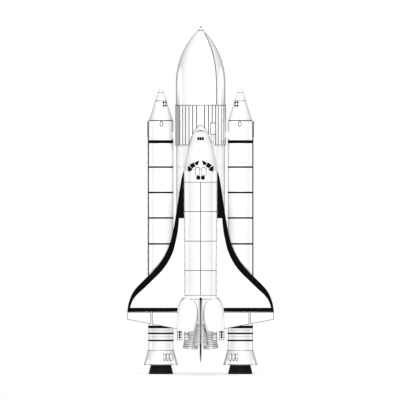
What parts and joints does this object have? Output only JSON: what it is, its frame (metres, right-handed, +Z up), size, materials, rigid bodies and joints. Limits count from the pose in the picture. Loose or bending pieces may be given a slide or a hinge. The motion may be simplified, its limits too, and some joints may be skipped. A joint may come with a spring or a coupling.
{
  "type": "space shuttle launch stack, half-size scale model",
  "caption": "Winged orbiter on a tall external tank with a solid rocket booster on each side, standing nose up; doors, flight controls and engines move.",
  "frame": {"origin": "centre of the whole model's box at floor level, where the booster nozzles stand", "axes": "+Z up towards the noses, -Y from the tank towards the orbiter's back, +X towards the orbiter's right wing"},
  "size_m": [11.8, 11.615, 28.07],
  "materials": {
    "tank_foam": "white paint over sprayed foam, matte",
    "booster_paint": "white satin paint",
    "nozzle_black": "black heat-resistant coating, matte",
    "line_paint": "pale insulated pipe, matte",
    "strut_steel": "bare metal struts, satin",
    "white_tile": "aluminium skin under white tiles and blankets, matte",
    "black_tile": "aluminium skin under black tiles, satin",
    "carbon_grey": "grey carbon panel, satin",
    "window_glass": "dark glazing",
    "cabin_trim": "dark grey cabin trim",
    "engine_metal": "heat-stained engine metal"
  },
  "bodies": {
    "stack": {"tank_forward": "tank_foam", "tank_nose_cap": "carbon_grey", "tank_ribbed_band": "tank_foam", "tank_aft": "tank_foam", "tank_cable_tray": "tank_foam", "feedline_fairing": "tank_foam", "oxygen_feedline": "line_paint", "hydrogen_feedline": "line_paint", "forward_bipod": "strut_steel", "aft_support_frame": "strut_steel", "booster_nose_left": "booster_paint", "booster_frustum_left": "booster_paint", "booster_forward_skirt_left": "booster_paint", "booster_motor_left": "booster_paint", "booster_tunnel_left": "booster_paint", "booster_aft_attach_left": "strut_steel", "booster_aft_skirt_left": "booster_paint", "booster_nozzle_left": "nozzle_black", "booster_nose_right": "booster_paint", "booster_frustum_right": "booster_paint", "booster_forward_skirt_right": "booster_paint", "booster_motor_right": "booster_paint", "booster_tunnel_right": "booster_paint", "booster_aft_attach_right": "strut_steel", "booster_aft_skirt_right": "booster_paint", "booster_nozzle_right": "nozzle_black", "nose_cap": "carbon_grey", "forward_fuselage": "white_tile", "windshield": "window_glass", "overhead_glass": "window_glass", "flight_deck": "cabin_trim", "mid_fuselage": "white_tile", "aft_fuselage": "white_tile", "wing_left": "white_tile", "leading_edge_left": "black_tile", "hinge_panel_left": "black_tile", "wing_right": "white_tile", "leading_edge_right": "black_tile", "hinge_panel_right": "black_tile", "fin": "white_tile", "rear_pod_left": "white_tile", "rear_pod_right": "white_tile", "pod_engine_left": "engine_metal", "pod_engine_right": "engine_metal"},
    "hatch": {"crew_hatch": "white_tile"},
    "bay_door_left": {"bay_door_left": "white_tile"},
    "bay_door_right": {"bay_door_right": "white_tile"},
    "elevon_inner_left": {"elevon_inner_left": "white_tile"},
    "elevon_inner_right": {"elevon_inner_right": "white_tile"},
    "elevon_outer_left": {"elevon_outer_left": "white_tile"},
    "elevon_outer_right": {"elevon_outer_right": "white_tile"},
    "body_flap": {"body_flap": "black_tile"},
    "rudder": {"rudder_post": "strut_steel"},
    "rudder_panel_left": {"rudder_left": "black_tile"},
    "rudder_panel_right": {"rudder_right": "black_tile"},
    "main_engine_upper": {"main_engine_upper": "engine_metal"},
    "main_engine_left": {"main_engine_left": "engine_metal"},
    "main_engine_right": {"main_engine_right": "engine_metal"}
  },
  "joints": [
    {"name": "hatch_hinge", "type": "hinge", "parent": "stack", "child": "hatch", "pos_m": [-1.34435, 0.3575, 16.55], "axis": [0, 0, -1], "range_deg": [0, 90]},
    {"name": "bay_door_left_hinge", "type": "hinge", "parent": "stack", "child": "bay_door_left", "pos_m": [-1.33338, -0.73369, 10.92], "axis": [0, 0, -1], "range_deg": [0, 175.5]},
    {"name": "bay_door_right_hinge", "type": "hinge", "parent": "stack", "child": "bay_door_right", "pos_m": [1.33338, -0.73369, 10.92], "axis": [0, 0, 1], "range_deg": [0, 175.5]},
    {"name": "elevon_inner_left_hinge", "type": "hinge", "parent": "stack", "child": "elevon_inner_left", "pos_m": [-2.65, 0.7905, 4.96], "axis": [0.9989, 0.0469, 0], "range_deg": [-35, 20]},
    {"name": "elevon_inner_right_hinge", "type": "hinge", "parent": "stack", "child": "elevon_inner_right", "pos_m": [2.65, 0.7905, 4.96], "axis": [0.9989, -0.0469, 0], "range_deg": [-35, 20]},
    {"name": "elevon_outer_left_hinge", "type": "hinge", "parent": "stack", "child": "elevon_outer_left", "pos_m": [-4.94, 0.683, 4.96], "axis": [0.9989, 0.0469, 0], "range_deg": [-35, 20]},
    {"name": "elevon_outer_right_hinge", "type": "hinge", "parent": "stack", "child": "elevon_outer_right", "pos_m": [4.94, 0.683, 4.96], "axis": [0.9989, -0.0469, 0], "range_deg": [-35, 20]},
    {"name": "body_flap_hinge", "type": "hinge", "parent": "stack", "child": "body_flap", "pos_m": [0, 0.8525, 3.7], "axis": [-1, 0, 0], "range_deg": [-22.5, 11.7]},
    {"name": "rudder_hinge", "type": "hinge", "parent": "stack", "child": "rudder", "pos_m": [0, -4.225, 2.5695], "axis": [0, -0.8443, -0.5359], "range_deg": [-27.1, 27.1]},
    {"name": "speed_brake_left_hinge", "type": "hinge", "parent": "rudder", "child": "rudder_panel_left", "pos_m": [0, -4.225, 2.5695], "axis": [0, 0.8443, 0.5359], "range_deg": [0, 49.3]},
    {"name": "speed_brake_right_hinge", "type": "hinge", "parent": "rudder", "child": "rudder_panel_right", "pos_m": [0, -4.225, 2.5695], "axis": [0, -0.8443, -0.5359], "range_deg": [0, 49.3]},
    {"name": "main_engine_upper_gimbal", "type": "hinge", "parent": "stack", "child": "main_engine_upper", "pos_m": [0, -1.0675, 4.38], "axis": [-1, 0, 0], "range_deg": [-10.5, 10.5]},
    {"name": "main_engine_left_gimbal", "type": "hinge", "parent": "stack", "child": "main_engine_left", "pos_m": [-0.675, 0.2075, 4.08], "axis": [-1, 0, 0], "range_deg": [-10.5, 10.5]},
    {"name": "main_engine_right_gimbal", "type": "hinge", "parent": "stack", "child": "main_engine_right", "pos_m": [0.675, 0.2075, 4.08], "axis": [-1, 0, 0], "range_deg": [-10.5, 10.5]}
  ]
}
